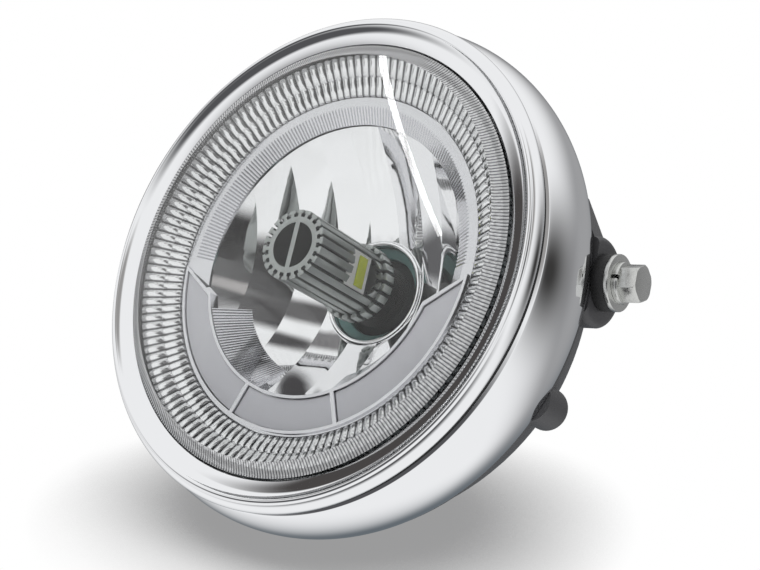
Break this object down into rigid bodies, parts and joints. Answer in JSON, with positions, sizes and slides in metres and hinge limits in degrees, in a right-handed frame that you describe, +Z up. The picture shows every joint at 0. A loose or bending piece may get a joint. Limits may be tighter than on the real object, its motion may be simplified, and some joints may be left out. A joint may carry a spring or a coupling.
{
  "type": "motorcycle headlight",
  "caption": "Round motorcycle headlight: chrome rim, clear domed lens, fluted ring, crescent mask, reflector with LED bulb, and a dark bucket with side bolts for a fork.",
  "frame": {"origin": "middle of the side-bolt axis, between the two fork ears", "axes": "+X along the side-bolt axis, -Y to the front along the optical axis, +Z up"},
  "size_m": [0.219, 0.1191, 0.196],
  "materials": {
    "rim_chrome": "bright chrome plate",
    "lens_clear": "clear moulded polycarbonate",
    "seal_rubber": "moulded black rubber",
    "sealant_pale": "pale grey silicone",
    "metallised_trim": "vacuum metallised plastic",
    "panel_satin": "satin grey lacquer",
    "reflector_mirror": "vacuum metallised mirror",
    "spring_steel": "spring steel, plain",
    "collar_teal": "dark teal coated metal",
    "sink_aluminium": "bead-blasted aluminium",
    "board_white": "white solder mask",
    "chip_phosphor": "yellow-green phosphor",
    "tail_plastic": "moulded black plastic",
    "terminal_brass": "plain brass",
    "bucket_plastic": "moulded dark grey plastic",
    "fastener_zinc": "bright zinc plate",
    "spacer_rubber": "moulded black rubber"
  },
  "bodies": {
    "root": {"chrome_rim": "rim_chrome", "lens": "lens_clear", "lens_gasket": "seal_rubber", "lens_sealant": "sealant_pale", "fluted_ring": "metallised_trim", "front_mask": "metallised_trim", "crescent_panel_left": "panel_satin", "crescent_panel_centre": "panel_satin", "crescent_panel_right": "panel_satin", "reflector": "reflector_mirror", "reflector_clips": "spring_steel", "bulb_collar": "collar_teal", "bulb_spring_clip": "spring_steel", "clip_screw": "fastener_zinc", "bulb_heat_sink": "sink_aluminium", "led_boards": "board_white", "led_chips": "chip_phosphor", "bulb_base": "tail_plastic", "bulb_tail": "tail_plastic", "bulb_terminals": "terminal_brass", "rubber_boot": "seal_rubber", "rear_bucket": "bucket_plastic", "rim_screws": "fastener_zinc", "rim_nuts": "fastener_zinc", "side_nuts": "fastener_zinc", "side_spacers": "spacer_rubber", "flat_washers": "fastener_zinc", "spring_washers": "fastener_zinc", "side_bolts": "fastener_zinc", "cable_grommet": "seal_rubber"}
  },
  "joints": []
}
